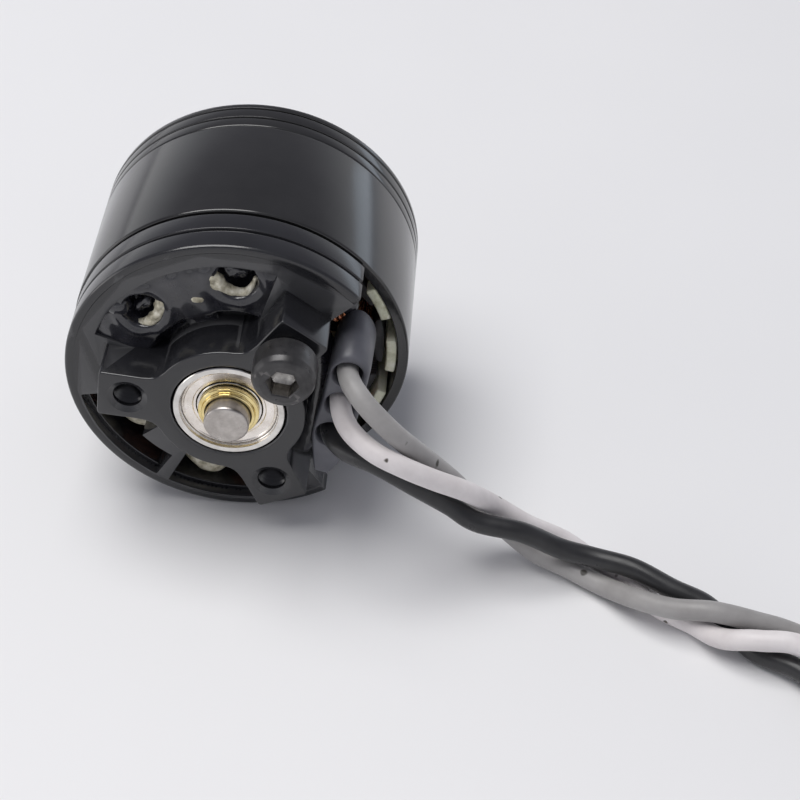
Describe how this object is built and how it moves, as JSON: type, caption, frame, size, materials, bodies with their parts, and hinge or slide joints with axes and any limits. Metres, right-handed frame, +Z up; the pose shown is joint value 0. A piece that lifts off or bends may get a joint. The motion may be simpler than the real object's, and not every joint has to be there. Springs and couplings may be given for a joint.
{
  "type": "brushless outrunner motor",
  "caption": "Brushless outrunner motor with a turning outer bell, three-arm mounting base, wire guide and three silicone leads.",
  "frame": {"origin": "on the surface the motor lies on, under the middle of the motor from its fitted screw's head to its shaft's end", "axes": "+Y along the shaft towards the propeller side, +Z up, +X towards the side the leads go to"},
  "size_m": [0.0967, 0.0532, 0.0308],
  "materials": {
    "base": "black anodised, glossy",
    "bell": "black plated, glossy",
    "bell_cap": "black anodised, glossy",
    "guide": "moulded, satin",
    "screw": "black oxide",
    "bearing_steel": "ground",
    "bearing_shield": "pressed, bright",
    "shaft": "ground",
    "brass": "turned",
    "laminations": "stacked silicon steel, varnished",
    "insulator": "moulded",
    "copper": "enamelled copper wire",
    "magnet": "nickel plated",
    "lead_grey": "silicone insulation, satin",
    "lead_white": "silicone insulation, satin",
    "lead_black": "silicone insulation, satin",
    "tinned_end": "solder-tinned strands"
  },
  "bodies": {
    "stator": {"base_mount": "base", "mounting_screw": "screw", "wire_guide": "guide", "front_bearing_outer_ring": "bearing_steel", "front_bearing_shield": "bearing_shield", "rear_bearing_outer_ring": "bearing_steel", "rear_bearing_shield": "bearing_shield", "stator_core": "laminations", "front_insulator": "insulator", "rear_insulator": "insulator", "winding_01": "copper", "winding_02": "copper", "winding_03": "copper", "winding_04": "copper", "winding_05": "copper", "winding_06": "copper", "winding_07": "copper", "winding_08": "copper", "winding_09": "copper", "winding_10": "copper", "winding_11": "copper", "winding_12": "copper", "lead_grey": "lead_grey", "lead_white": "lead_white", "lead_black": "lead_black", "tinned_end_grey": "tinned_end", "tinned_end_white": "tinned_end", "tinned_end_black": "tinned_end"},
    "rotor": {"flux_ring": "bell", "bell_cap": "bell_cap", "shaft": "shaft", "brass_collar": "brass", "front_bearing_inner_ring": "bearing_steel", "rear_bearing_inner_ring": "bearing_steel", "magnet_01": "magnet", "magnet_02": "magnet", "magnet_03": "magnet", "magnet_04": "magnet", "magnet_05": "magnet", "magnet_06": "magnet", "magnet_07": "magnet", "magnet_08": "magnet", "magnet_09": "magnet", "magnet_10": "magnet", "magnet_11": "magnet", "magnet_12": "magnet", "magnet_13": "magnet", "magnet_14": "magnet"}
  },
  "joints": [
    {"name": "bell_spin", "type": "hinge", "parent": "stator", "child": "rotor", "pos_m": [0, 0, 0.0154], "axis": [0, 1, 0], "continuous": true}
  ]
}
